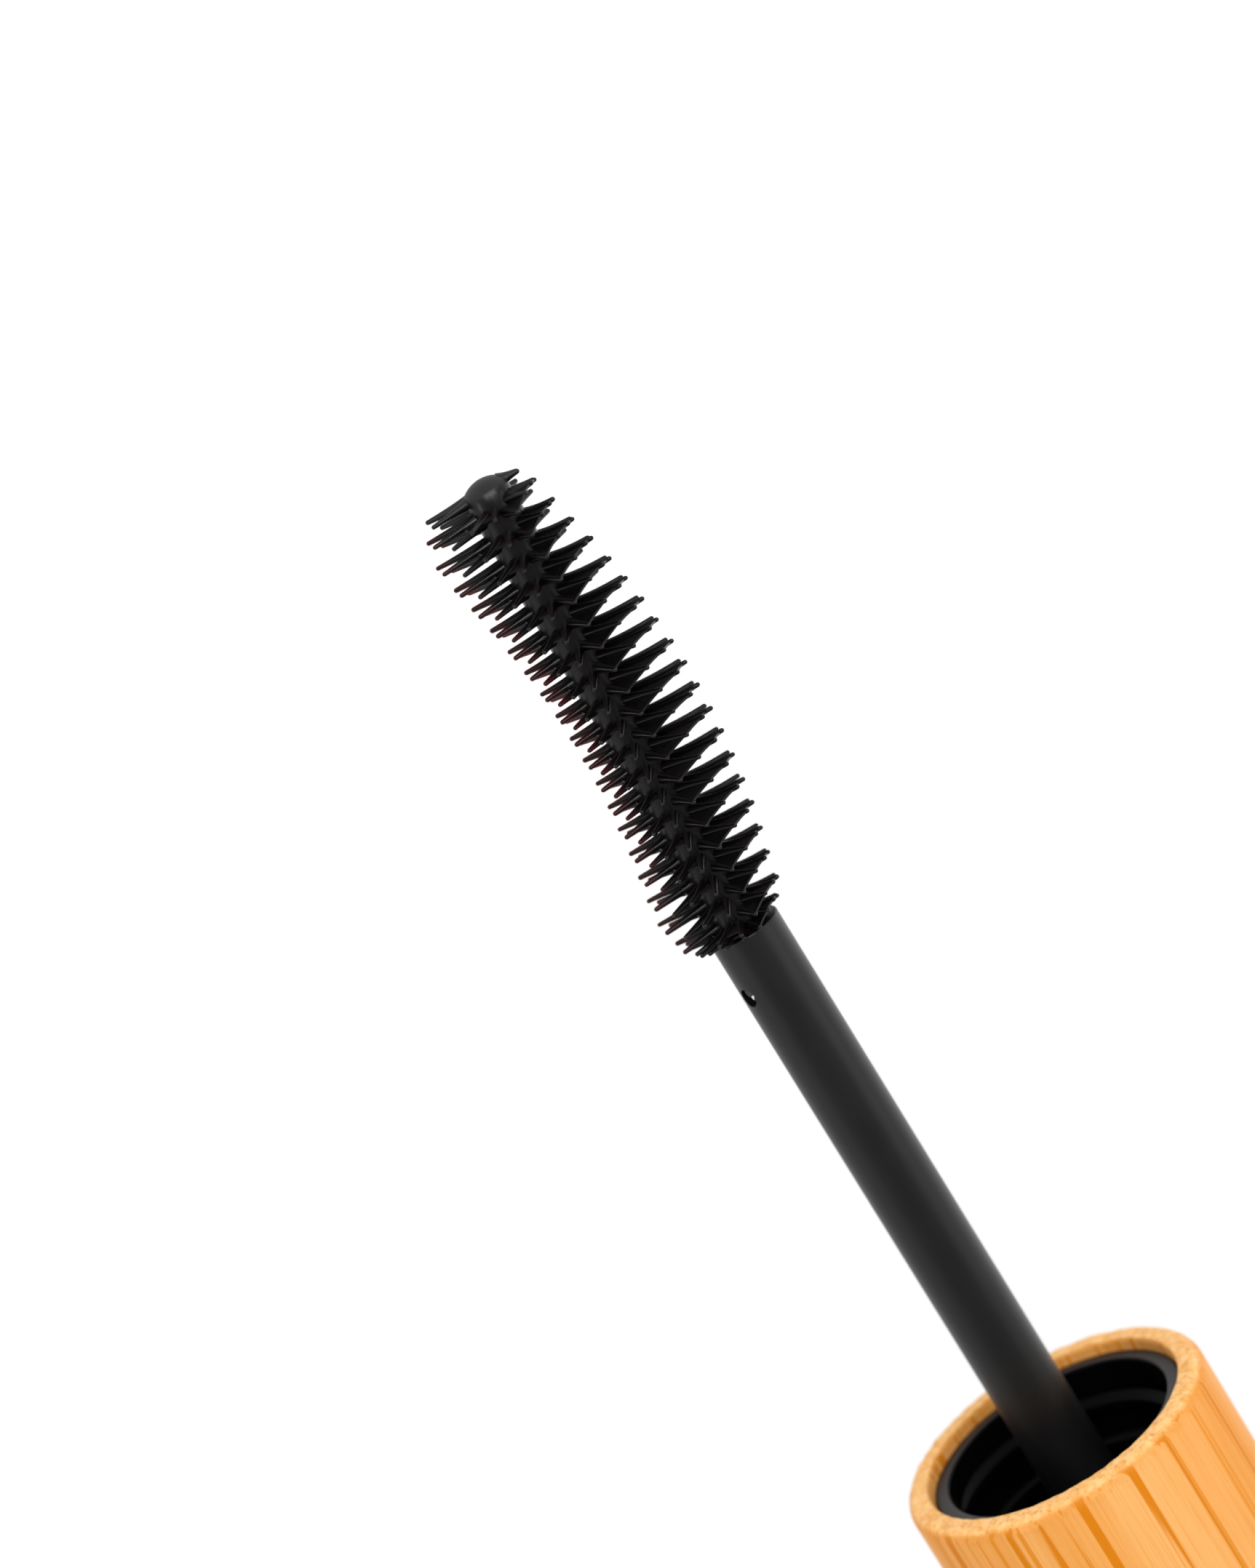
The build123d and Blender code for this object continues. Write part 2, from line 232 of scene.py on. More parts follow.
def add_object(name, mesh, material, body=None, replaces=()):
    """Link a mesh as a piece of the object, riding on its CAD body."""
    thing = bpy.data.objects.new(name, mesh)
    bpy.context.scene.collection.objects.link(thing)
    if material is not None:
        mesh.materials.clear()
        mesh.materials.append(material)
    if body:
        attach(thing, body)
    if replaces:
        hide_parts(*replaces)
    return thing


def mesh_from(name, points, faces):
    """Mesh in metres from points in millimetres, with every face turned outwards."""
    mesh = bpy.data.meshes.new(name)
    mesh.from_pydata([Vector(point) * MM for point in points], [], faces)
    shape = bmesh.new()
    shape.from_mesh(mesh)
    bmesh.ops.recalc_face_normals(shape, faces=shape.faces)
    shape.to_mesh(mesh)
    shape.free()
    return mesh


def shade_by_angle(mesh, degrees):
    """Smooth shading that breaks at edges sharper than this."""
    mesh.polygons.foreach_set("use_smooth", [True] * len(mesh.polygons))
    mesh.set_sharp_from_angle(angle=math.radians(degrees))


def rounded(corners, steps=6):
    """Closed (radius, height) outline from (radius, height, rounding) corners, turned into arcs."""
    outline = []
    count = len(corners)
    for number, (radius, height, rounding) in enumerate(corners):
        here = Vector((radius, height))
        if not rounding:
            outline.append((radius, height))
            continue
        before = (Vector(corners[number - 1][:2]) - here).normalized()
        after = (Vector(corners[(number + 1) % count][:2]) - here).normalized()
        half_angle = before.angle(after) / 2
        setback = rounding / math.tan(half_angle)
        centre = here + (before + after).normalized() * rounding / math.sin(half_angle)
        start = here + before * setback - centre
        turn = start.angle_signed(here + after * setback - centre)
        for step in range(steps + 1):
            arm = Matrix.Rotation(-turn * step / steps, 2) @ start
            outline.append(tuple(centre + arm))
    return outline


def lathe(name, outline, segments, offset=None):
    """Revolve a (radius, height) outline about Z. offset(height) shifts the axis along X."""
    points = []
    rows = []
    for radius, height in outline:
        shift = offset(height) if offset else 0.0
        if radius < 1e-6:
            rows.append([len(points)] * segments)
            points.append((shift, 0.0, height))
            continue
        rows.append(list(range(len(points), len(points) + segments)))
        for segment in range(segments):
            turn = 2 * math.pi * segment / segments
            points.append((shift + radius * math.cos(turn), radius * math.sin(turn), height))
    faces = []
    for number, row in enumerate(rows):
        next_row = rows[(number + 1) % len(rows)]
        if row[0] == row[1] and next_row[0] == next_row[1]:
            continue
        for segment in range(segments):
            following = (segment + 1) % segments
            corners = [row[segment], row[following], next_row[following], next_row[segment]]
            face = [corner for place, corner in enumerate(corners) if corner not in corners[:place]]
            if len(face) > 2:
                faces.append(face)
    return mesh_from(name, points, faces)


def swept_tube(sections):
    """Points and faces of a closed solid through rings that have the same number of points."""
    points = [point for section in sections for point in section]
    size = len(sections[0])
    faces = [list(range(size))]
    for number in range(len(sections) - 1):
        start = number * size
        for side in range(size):
            following = (side + 1) % size
            faces.append([
                start + side, start + following, start + size + following, start + size + side
            ])
    last = (len(sections) - 1) * size
    faces.append([last + side for side in reversed(range(size))])
    return points, faces


def joined(name, solids):
    """One mesh from several (points, faces) solids."""
    points = []
    faces = []
    for solid_points, solid_faces in solids:
        start = len(points)
        points += solid_points
        faces += [[start + corner for corner in face] for face in solid_faces]
    return mesh_from(name, points, faces)


def combine(mesh, other, operation):
    """Boolean of two closed meshes, as a new mesh."""
    first = bpy.data.objects.new("boolean_a", mesh)
    second = bpy.data.objects.new("boolean_b", other)
    for thing in (first, second):
        bpy.context.scene.collection.objects.link(thing)
    modifier = first.modifiers.new("boolean", "BOOLEAN")
    modifier.operation = operation
    modifier.solver = "MANIFOLD"
    modifier.object = second
    graph = bpy.context.evaluated_depsgraph_get()
    result = bpy.data.meshes.new_from_object(first.evaluated_get(graph))
    for thing in (first, second):
        bpy.data.objects.remove(thing)
    result.name = mesh.name
    return result


def thread_solid(root, crest, start_z, start_turn, turns):
    """Right-handed rib whose ends sink smoothly into the wall that carries it.

    The wall is at the root radius. Each section has six corners, the first and last of them
    inside the wall.
    """
    steps = int(THREAD_STEPS_IN_A_TURN * turns)
    sign = 1 if crest > root else -1
    buried = root - sign * THREAD_BURIED
    sections = []
    for step in range(steps + 1):
        share = step / steps
        turn = start_turn + 2 * math.pi * turns * share
        height = start_z + PITCH * turns * share
        from_end = min(share, 1 - share) * turns / THREAD_RUN_OUT
        swell = math.sin(min(1.0, from_end) * math.pi / 2) ** 0.6
        reach = sign * (abs(crest - root) * swell + THREAD_END_HEIGHT * (1 - swell))
        size = THREAD_END_SIZE + (1 - THREAD_END_SIZE) * swell
        half_crest = THREAD_CREST_WIDTH / 2 * size
        half_root = THREAD_ROOT_WIDTH / 2 * size
        soft = THREAD_SOFTNESS * swell
        profile = [
            (buried, -half_root - THREAD_FLANK),
            (root + reach - sign * soft, -half_crest - THREAD_FLANK),
            (root + reach, -half_crest + soft / 2),
            (root + reach, half_crest - soft / 2),
            (root + reach - sign * soft, half_crest + THREAD_FLANK),
            (buried, half_root + THREAD_FLANK),
        ]
        sections.append([
            (radius * math.cos(turn), radius * math.sin(turn), height + rise)
            for radius, rise in profile
        ])
    return swept_tube(sections)


# --- material helpers -----------------------------------------------------------------------


class Shader:
    """Small wrapper that makes nodes and links in one call."""

    def __init__(self, name):
        self.material = bpy.data.materials.new(name)
        self.material.use_nodes = True
        self.tree = self.material.node_tree
        self.surface = self.tree.nodes["Principled BSDF"]

    def set(self, node, **inputs):
        """Give a node's inputs a value or a link, each by its name with _ for a space."""
        for key, value in inputs.items():
            label = key.replace("_", " ")
            socket = next(s for s in node.inputs if s.name.lower() == label.lower())
            if isinstance(value, bpy.types.NodeSocket):
                self.tree.links.new(value, socket)
            else:
                socket.default_value = value
        return node

    def add(self, kind, settings=None, **inputs):
        """New node of a kind, with its settings and inputs."""
        node = self.tree.nodes.new(kind)
        for key, value in (settings or {}).items():
            setattr(node, key, value)
        return self.set(node, **inputs)

    def maths(self, operation, first, second=None):
        """Result of one or two values or links."""
        node = self.add("ShaderNodeMath", {"operation": operation})
        for place, value in enumerate((first, second)):
            if value is None:
                continue
            if isinstance(value, bpy.types.NodeSocket):
                self.tree.links.new(value, node.inputs[place])
            else:
                node.inputs[place].default_value = value
        return node.outputs[0]

    def step_up(self, value, low, high):
        """0 below low, 1 above high, smooth between."""
        node = self.add("ShaderNodeMapRange", {"interpolation_type": "SMOOTHSTEP"})
        self.tree.links.new(value, node.inputs["Value"])
        node.inputs["From Min"].default_value = low
        node.inputs["From Max"].default_value = high
        return node.outputs["Result"]

    def blend(self, factor, first, second):
        """Colour that goes from the first to the second as the factor goes from 0 to 1."""
        node = self.add("ShaderNodeMix", {"data_type": "RGBA"})
        for place, value in ((0, factor), (6, first), (7, second)):
            if isinstance(value, bpy.types.NodeSocket):
                self.tree.links.new(value, node.inputs[place])
            else:
                node.inputs[place].default_value = value
        return node.outputs[2]

    def place(self, across, lengthwise=None):
        """Object coordinates in millimetres, times a scale across Z and another along it."""
        where = self.add("ShaderNodeTexCoord").outputs["Object"]
        along = across if lengthwise is None else lengthwise
        stretch = (across / MM, across / MM, along / MM)
        return self.add("ShaderNodeMapping", Vector=where, Scale=stretch).outputs[0]

    def noise(self, where, detail=2.0, roughness=0.5):
        """Soft noise over coordinates from place."""
        node = self.add("ShaderNodeTexNoise", Scale=1.0, Detail=detail, Roughness=roughness)
        self.tree.links.new(where, node.inputs["Vector"])
        return node.outputs[0]

    def bump(self, height, strength, distance_mm):
        """Normal of a surface with a fine relief."""
        distance = distance_mm * MM
        node = self.add("ShaderNodeBump", Height=height, Strength=strength, Distance=distance)
        return node.outputs[0]

    def separate(self, vector, axis):
        """One part of a vector: 0, 1 or 2 for X, Y or Z."""
        return self.add("ShaderNodeSeparateXYZ", Vector=vector).outputs[axis]

    def times(self, value, factor):
        """A value times another value or a number."""
        return self.maths("MULTIPLY", value, factor)

    def inverse(self, value):
        """1 where the value is 0, and 0 where it is 1."""
        return self.maths("SUBTRACT", 1.0, value)


def rgb(red, green, blue):
    """Linear colour from display values of 0 to 255."""
    def linear(value):
        """One part of the colour, without the display's curve."""
        share = value / 255
        return share / 12.92 if share <= 0.04045 else ((share + 0.055) / 1.055) ** 2.4
    return (linear(red), linear(green), linear(blue), 1.0)


def scaled(colour, factor):
    """Lighter or darker copy of a linear colour."""
    return tuple(part * factor for part in colour[:3]) + (1,)


def upright_share(s, low, high):
    """1 where a face looks up or down, 0 where it looks sideways."""
    normal = s.add("ShaderNodeNewGeometry").outputs["Normal"]
    return s.step_up(s.maths("ABSOLUTE", s.separate(normal, 2)), low, high)


# Bamboo: waves in a millimetre of each texture, across the fibres and along them
BROAD_WAVES = (0.22, 0.012)
STREAK_WAVES = (1.05, 0.011)
THIN_STREAK_WAVES = (2.9, 0.02)
FIBRE_WAVES = (9.0, 0.11)
FINE_FIBRE_WAVES = (22.0, 0.5)
MOTTLE_WAVES = 2.2
PORE_WAVES = 2.6
RIM_WAVES = 1.6

# Bamboo: colours of the culm, its streaks and its cut ends
PALE = rgb(250, 183, 108)
TAN = rgb(240, 161, 74)
GOLD = rgb(222, 128, 0)
AMBER = rgb(228, 138, 22)
END_PALE = rgb(255, 208, 142)
END_TAN = rgb(244, 172, 90)
PORE_BROWN = rgb(176, 104, 24)
RIM_TAN = rgb(222, 142, 50)


def bamboo_material(name, rim_z, seed):
    """Sanded bamboo: pale culm with golden streaks and fibres along Z, brown pores on cut ends."""
    s = Shader(name)
    where = s.place(1.0)
    moved = s.add("ShaderNodeVectorMath", {"operation": "ADD"})
    s.tree.links.new(where, moved.inputs[0])
    moved.inputs[1].default_value = (seed * 13.7, seed * 5.1, seed * 3.3)

    def stretched(waves):
        """Coordinates of one texture, at this seed's place in the noise."""
        across, lengthwise = waves
        node = s.add("ShaderNodeMapping", Scale=(across, across, lengthwise))
        s.tree.links.new(moved.outputs[0], node.inputs["Vector"])
        return node.outputs[0]

    broad = s.noise(stretched(BROAD_WAVES), 2.0, 0.5)
    streaks = s.noise(stretched(STREAK_WAVES), 1.5, 0.45)
    thin_streaks = s.noise(stretched(THIN_STREAK_WAVES), 1.0, 0.4)
    fibre = s.noise(stretched(FIBRE_WAVES), 3.0, 0.6)
    fine = s.noise(stretched(FINE_FIBRE_WAVES), 2.0, 0.6)

    # The culm
    streak_mask = s.step_up(streaks, 0.575, 0.605)
    thin_mask = s.step_up(thin_streaks, 0.61, 0.65)
    colour = s.blend(s.step_up(broad, 0.35, 0.65), PALE, TAN)
    colour = s.blend(s.times(s.step_up(fibre, 0.42, 0.7), 0.4), colour, AMBER)
    colour = s.blend(s.times(thin_mask, 0.85), colour, AMBER)
    colour = s.blend(s.times(streak_mask, 0.96), colour, GOLD)

    # The cut ends
    end_grain = upright_share(s, 0.45, 0.85)
    mottle = s.noise(s.place(MOTTLE_WAVES), 4.0, 0.65)
    pores = s.add("ShaderNodeTexVoronoi", Scale=1.0, Vector=s.place(PORE_WAVES))
    pore_mask = s.inverse(s.step_up(pores.outputs["Distance"], 0.12, 0.34))
    end_colour = s.blend(s.step_up(mottle, 0.3, 0.75), END_PALE, END_TAN)
    end_colour = s.blend(s.times(pore_mask, 0.34), end_colour, PORE_BROWN)
    end_colour = s.blend(s.times(streak_mask, 0.25), end_colour, GOLD)
    colour = s.blend(end_grain, colour, end_colour)

    # A tan line of uneven width on the side, just past the rounded rim
    off_rim = s.maths("ABSOLUTE", s.maths("SUBTRACT", s.separate(where, 2), rim_z))
    uneven = s.times(s.noise(s.place(RIM_WAVES), 3.0), 1.1)
    near_rim = s.inverse(s.step_up(s.maths("ADD", off_rim, uneven), 0.5, 1.6))
    near_rim = s.times(near_rim, s.inverse(end_grain))
    colour = s.blend(s.times(near_rim, 0.45), colour, RIM_TAN)

    # Relief and finish
    grain = s.times(s.maths("ADD", fibre, s.times(fine, 0.5)), s.inverse(end_grain))
    rough_end = s.times(s.maths("ADD", mottle, pore_mask), end_grain)
    s.set(
        s.surface,
        Base_Color=colour,
        Roughness=s.maths("ADD", 0.42, s.times(fibre, 0.22)),
        Normal=s.bump(s.maths("ADD", grain, s.times(rough_end, 0.6)), 0.55, 0.07),
        Specular_IOR_Level=0.12,
        Subsurface_Weight=0.03,
        Subsurface_Radius=(1.0, 0.45, 0.15),
        Subsurface_Scale=0.6 * MM,
    )
    return s.material


def plastic_material(name, colour, roughness, grain_waves, bump_mm, polished_with_painted_light=False):
    """Moulded plastic: fine spark-eroded texture, faint flow marks and uneven gloss.

    Polished plastic keeps its rougher finish only on faces that look up or down. Its colour is
    painted lighter there as painted light, and darker elsewhere as painted shade.
    """
    s = Shader(name)
    grain = s.noise(s.place(grain_waves), 3.0, 0.6)
    cloud = s.noise(s.place(0.8, 0.25), 3.0, 0.55)
    shade = s.blend(s.step_up(cloud, 0.3, 0.7), colour, scaled(colour, 1.35))
    gloss = s.maths("ADD", roughness - 0.05, s.times(cloud, 0.1))
    shine = 0.36
    if polished_with_painted_light:
        satin_and_painted_light = upright_share(s, 0.9, 0.97)
        gloss = s.times(gloss, s.maths("ADD", 0.45, s.times(satin_and_painted_light, 0.55)))
        shine = s.maths("ADD", 0.05, s.times(satin_and_painted_light, 0.31))
        # Painted light on faces that look up or down, and painted shade on all other faces, such as
        # the bore and its thread
        shade = s.blend(satin_and_painted_light, scaled(colour, 0.35), scaled(colour, 1.8))
    s.set(
        s.surface,
        Base_Color=shade,
        Roughness=gloss,
        Normal=s.bump(grain, 0.5, bump_mm),
        Specular_IOR_Level=shine,
    )
    return s.material


def brush_material():
    """Glossy black elastomer with painted red light through its thin edges and tips, matt on its
    films and less glossy on its dome, which is painted lighter as painted light from below.
    """
    s = Shader("brush_gloss")
    cloud = s.noise(s.place(0.8), 3.0, 0.55)
    grain = s.noise(s.place(18.0), 3.0, 0.6)
    height = s.separate(s.place(1.0), 2)
    above_dome = s.step_up(height, BRUSH_TIP_Z + 0.5, BRUSH_TIP_Z + 0.9)
    film = s.times(upright_share(s, 0.93, 0.985), above_dome)
    facing = s.add("ShaderNodeLayerWeight", Blend=0.35).outputs["Facing"]
    shade = s.blend(s.step_up(cloud, 0.3, 0.7), rgb(9, 8, 9), rgb(15, 14, 15))
    # Painted red light through the thin edges, where the surface is seen at a slant
    shade = s.blend(s.step_up(facing, 0.6, 0.97), shade, rgb(70, 16, 20))

    # Light comes through the thin tips on +X, outside a line that bends as the envelope does
    middle_z = (FIRST_RING_Z + LAST_RING_Z) / 2
    half_length = (LAST_RING_Z - FIRST_RING_Z) / 2
    along = s.maths("DIVIDE", s.maths("SUBTRACT", height, middle_z), half_length)
    bend = s.times(s.times(along, along), ENVELOPE_RETURN)
    bend = s.maths("MINIMUM", bend, ENVELOPE_RETURN_LIMIT + ENVELOPE_BULGE)
    past_bend = s.maths("SUBTRACT", s.separate(s.place(1.0), 0), bend)
    thin_tip = s.times(s.step_up(past_bend, 1.2, 2.4), s.step_up(facing, 0.0, 0.4))
    shade = s.blend(thin_tip, shade, rgb(110, 20, 22))
    shade = s.blend(film, shade, rgb(30, 27, 29))
    # The dome is painted a lighter grey, as painted light from below
    shade = s.blend(above_dome, rgb(34, 34, 36), shade)

    gloss = s.maths("SUBTRACT", 0.45, s.times(above_dome, 0.2))
    s.set(
        s.surface,
        Base_Color=shade,
        Roughness=s.maths("MAXIMUM", gloss, s.times(film, 0.85)),
        Normal=s.bump(grain, 0.5, 0.003),
        Specular_IOR_Level=s.maths("SUBTRACT", 0.28, s.times(film, 0.26)),
    )
    return s.material


# --- bamboo sleeves -------------------------------------------------------------------------


RIM_WAVE_COUNT = 14
RIM_UNEVEN_HEIGHT = 0.9
RIM_SWAY = 0.09
RIM_SANDED = 0.03
RIM_SHRINK = 0.05


def roughen_rim(mesh, rim_z, seed):
    """Sanded but slightly uneven rim: vertices near it wander by a few hundredths."""
    picker = random.Random(seed)
    waves = [
        (picker.randint(9, 61), picker.uniform(0, 2 * math.pi), picker.uniform(0.3, 1.0))
        for _ in range(RIM_WAVE_COUNT)
    ]
    total = sum(wave[2] for wave in waves)
    for vertex in mesh.vertices:
        height = vertex.co.z / MM - rim_z
        radius = math.hypot(vertex.co.x, vertex.co.y) / MM
        closeness = max(0.0, 1 - abs(height) / RIM_UNEVEN_HEIGHT)
        if closeness == 0 or radius < SLEEVE_BORE_R + 0.1:
            continue
        turn = math.atan2(vertex.co.y, vertex.co.x)
        sway = sum(share * math.sin(count * turn + phase) for count, phase, share in waves) / total
        inwards = 1 if height >= 0 else -1
        vertex.co.z += (RIM_SWAY * sway - RIM_SANDED) * closeness * MM * inwards
        shrink = 1 - RIM_SHRINK * closeness * (0.5 + 0.5 * sway) / radius
        vertex.co.x *= shrink
        vertex.co.y *= shrink


def make_cap_sleeve():
    """Turned bamboo cap, with a blind bore for the insert."""
    outline = rounded([
        (SLEEVE_BORE_R, RIM_Z, BORE_ROUNDING),
        (SLEEVE_R, RIM_Z, RIM_ROUNDING),
        (SLEEVE_R, CAP_TOP_Z, CAP_END_ROUNDING),
        (0, CAP_TOP_Z, 0),
        (0, CAP_BORE_TOP_Z, 0),
        (SLEEVE_BORE_R, CAP_BORE_TOP_Z, 0),
    ], 10)
    mesh = lathe("cap_sleeve", outline, 360)
    roughen_rim(mesh, RIM_Z, 5)
    shade_by_angle(mesh, 35)
    material = bamboo_material("bamboo_cap", RIM_Z, 1.0)
    add_object("cap_sleeve", mesh, material, "wand", ["cap_shell"])


def make_tube_sleeve():
    """Turned bamboo tube, with a blind bore for the vial."""
    outline = rounded([
        (0, 0, 0),
        (SLEEVE_R, 0, RIM_ROUNDING),
        (SLEEVE_R, TUBE_TOP_Z, RIM_ROUNDING),
        (SLEEVE_BORE_R, TUBE_TOP_Z, BORE_ROUNDING),
        (SLEEVE_BORE_R, VIAL_LOW_Z, 0),
        (0, VIAL_LOW_Z, 0),
    ], 10)
    mesh = lathe("tube_sleeve", outline, 360)
    shade_by_angle(mesh, 35)
    material = bamboo_material("bamboo_tube", TUBE_TOP_Z, 2.0)
    add_object("tube_sleeve", mesh, material, "tube", ["tube_shell"])


# --- black mouldings ------------------------------------------------------------------------


def make_insert(material):
    """Cap's insert: threaded mouth, ceiling with the rod's socket, and an open top."""
    web_top = CEILING_Z + WEB
    socket_top = ROD_TOP_Z + SOCKET_ROOF
    soft = 0.18
    outline = rounded([
        (INSERT_BORE_R, INSERT_LOW_Z, soft),
        (INSERT_R, INSERT_LOW_Z, soft),
        (INSERT_R, INSERT_TOP_Z, soft),
        (INSERT_BORE_R, INSERT_TOP_Z, soft),
        (INSERT_BORE_R, web_top, soft),
        (SOCKET_R, web_top, soft),
        (SOCKET_R, socket_top, soft),
        (0, socket_top, 0),
        (0, ROD_TOP_Z, 0),
        (ROD_R, ROD_TOP_Z, 0),
        (ROD_R, SOCKET_LOW_Z, 0.1),
        (SOCKET_R, SOCKET_LOW_Z, soft),
        (SOCKET_R, CEILING_Z, soft),
        (INSERT_BORE_R, CEILING_Z, soft),
    ], 5)
    mesh = lathe("cap_insert", outline, 256)
    rib = thread_solid(
        INSERT_BORE_R, THREAD_CREST_R, THREAD_START_Z, THREAD_START_TURN, THREAD_TURNS
    )
    mesh = combine(mesh, joined("thread", [rib]), "UNION")
    shade_by_angle(mesh, 38)
    add_object("cap_insert", mesh, material, "wand", ["inner_cap"])


def make_vial(material):
    """Bottle in the tube, with a shoulder just above the bamboo's rim and a threaded neck."""
    soft = 0.2
    seat_z = NECK_TOP_Z - SEAT_DEPTH
    inner_neck_z = INNER_SHOULDER_Z + VIAL_BORE_R - NECK_BORE_R
    outline = rounded([
        (0, VIAL_LOW_Z, 0),
        (INSERT_R, VIAL_LOW_Z, 0.6),
        (INSERT_R, TUBE_TOP_Z, 0.08),
        (SHOULDER_R, TUBE_TOP_Z, 0.04),
        (SHOULDER_R, SHOULDER_Z, soft),
        (NECK_R, SHOULDER_Z, soft),
        (NECK_R, NECK_TOP_Z, soft),
        (SEAT_R, NECK_TOP_Z, 0.1),
        (SEAT_R, seat_z, 0),
        (NECK_BORE_R, seat_z, 0),
        (NECK_BORE_R, BEAD_Z + BEAD, 0),
        (NECK_BORE_R + BEAD, BEAD_Z, 0),
        (NECK_BORE_R, BEAD_Z - BEAD, 0),
        (NECK_BORE_R, inner_neck_z, 0.3),
        (VIAL_BORE_R, INNER_SHOULDER_Z, 0.6),
        (VIAL_BORE_R, VIAL_LOW_Z + VIAL_FLOOR, 0.4),
        (0, VIAL_LOW_Z + VIAL_FLOOR, 0),
    ], 5)
    mesh = lathe("vial_body", outline, 256)
    start_z = CLOSED_RIM_Z + (THREAD_START_Z - RIM_Z) + PITCH / 2
    start_turn = THREAD_START_TURN - 2 * math.pi * TURNS_TO_OPEN
    rib = thread_solid(NECK_R, NECK_THREAD_CREST_R, start_z, start_turn, NECK_THREAD_TURNS)
    mesh = combine(mesh, joined("thread", [rib]), "UNION")
    shade_by_angle(mesh, 38)
    add_object("vial_body", mesh, material, "tube", ["vial"])


def make_wiper(material):
    """Rubber sleeve in the neck: flange on its seat, bead, and a funnel down to the lip."""
    barrel = NECK_BORE_R - WIPER_PLAY
    flange = SEAT_R - WIPER_PLAY
    flange_low = NECK_TOP_Z - SEAT_DEPTH + WIPER_PLAY / 2
    lip_z = WIPER_LOW_Z + WIPER_LIP_HEIGHT
    funnel_z = (WIPER_TOP_Z + WIPER_LOW_Z) / 2
    outline = rounded([
        (barrel - WIPER_WALL, WIPER_TOP_Z, 0.2),
        (flange, WIPER_TOP_Z, 0.12),
        (flange, flange_low, 0.05),
        (barrel, flange_low, 0),
        (barrel, BEAD_Z + BEAD, 0),
        (barrel + BEAD, BEAD_Z, 0.05),
        (barrel, BEAD_Z - BEAD, 0),
        (barrel, funnel_z, 0.8),
        (WIPER_LIP_R + WIPER_WALL, lip_z, 0.5),
        (WIPER_LIP_R + WIPER_WALL / 2, WIPER_LOW_Z, 0.1),
        (WIPER_LIP_R, WIPER_LOW_Z, 0.1),
        (WIPER_LIP_R, lip_z, 0.6),
        (barrel - WIPER_WALL, funnel_z, 1.0),
    ], 6)
    mesh = lathe("neck_wiper", outline, 192)
    shade_by_angle(mesh, 40)
    add_object("neck_wiper", mesh, material, "wiper", ["wiper"])


def radial_pin(radius, height, reach, turn, sides=40):
    """Round pin from the rod's axis outwards at a height, turned about that axis from +X."""
    outward = Vector((math.cos(turn), math.sin(turn), 0))
    sideways = Vector((-math.sin(turn), math.cos(turn), 0))
    sections = []
    for distance in (0.0, reach):
        ring = []
        for number in range(sides):
            spin = 2 * math.pi * number / sides
            middle = outward * distance + Vector((0, 0, height + radius * math.sin(spin)))
            ring.append(tuple(middle + sideways * radius * math.cos(spin)))
        sections.append(ring)
    return swept_tube(sections)


def make_rod(material):
    """Hollow rod with two windows near the brush."""
    outline = rounded([
        (ROD_BORE_R, JUNCTION_Z, 0.05),
        (ROD_R, JUNCTION_Z, 0.12),
        (ROD_R, ROD_TOP_Z, 0.1),
        (ROD_BORE_R, ROD_TOP_Z, 0),
    ], 6)
    mesh = lathe("wand_tube", outline, 160)
    for height, turn in ((LOCK_Z, LOCK_TURN), (BACK_HOLE_Z, BACK_HOLE_TURN)):
        cutter = joined("cutter", [radial_pin(LOCK_R, height, 2 * ROD_R, turn)])
        mesh = combine(mesh, cutter, "DIFFERENCE")
    shade_by_angle(mesh, 30)
    add_object("wand_tube", mesh, material, "wand", ["wand_rod"])


# --- brush ----------------------------------------------------------------------------------


def core_centre(height):
    """The core leans a little to -X towards its tip."""
    return -CORE_LEAN * max(0.0, JUNCTION_Z - height) / BRUSH_LENGTH


def envelope(height):
    """Centre offset and radius of the curved surface that the bristles' tips lie on."""
    along = (2 * height - FIRST_RING_Z - LAST_RING_Z) / (LAST_RING_Z - FIRST_RING_Z)
    centre = min(ENVELOPE_RETURN_LIMIT, -ENVELOPE_BULGE + ENVELOPE_RETURN * along ** 2)
    loss = ENVELOPE_END_LOSS * min(1.0, abs(along)) ** ENVELOPE_END_SHARPNESS
    return centre, ENVELOPE_R * math.sqrt(1 - loss)


def within(degrees, turns):
    """Whether a turn lies in a range of turns."""
    lowest, highest = turns
    return lowest < degrees < highest


def row_rise(height, degrees):
    """How far a bristle stands above its ring, for a turn from -90 to 270 degrees.

    The rows climb like a thread, most by the rod. The back half of the mould is staggered by
    half a pitch, and two rows of the front are shifted too. No bristle gets into the rod.
    """
    share = (height - FIRST_RING_Z) / (LAST_RING_Z - FIRST_RING_Z)
    climb = min(CLIMB_MOST, CLIMB_BY_TIP + CLIMB_GAIN * share)
    rise = RING_PITCH * climb * (90 - degrees) / 360
    if within(degrees, BACK_TURNS):
        rise += RING_PITCH / 2
    if within(degrees, FRONT_TURNS):
        rise += FRONT_ROW_RISE
    if within(degrees, OUTER_TURNS):
        rise += OUTER_ROW_RISE
    return min(rise, JUNCTION_Z - ROD_CLEARANCE - height)


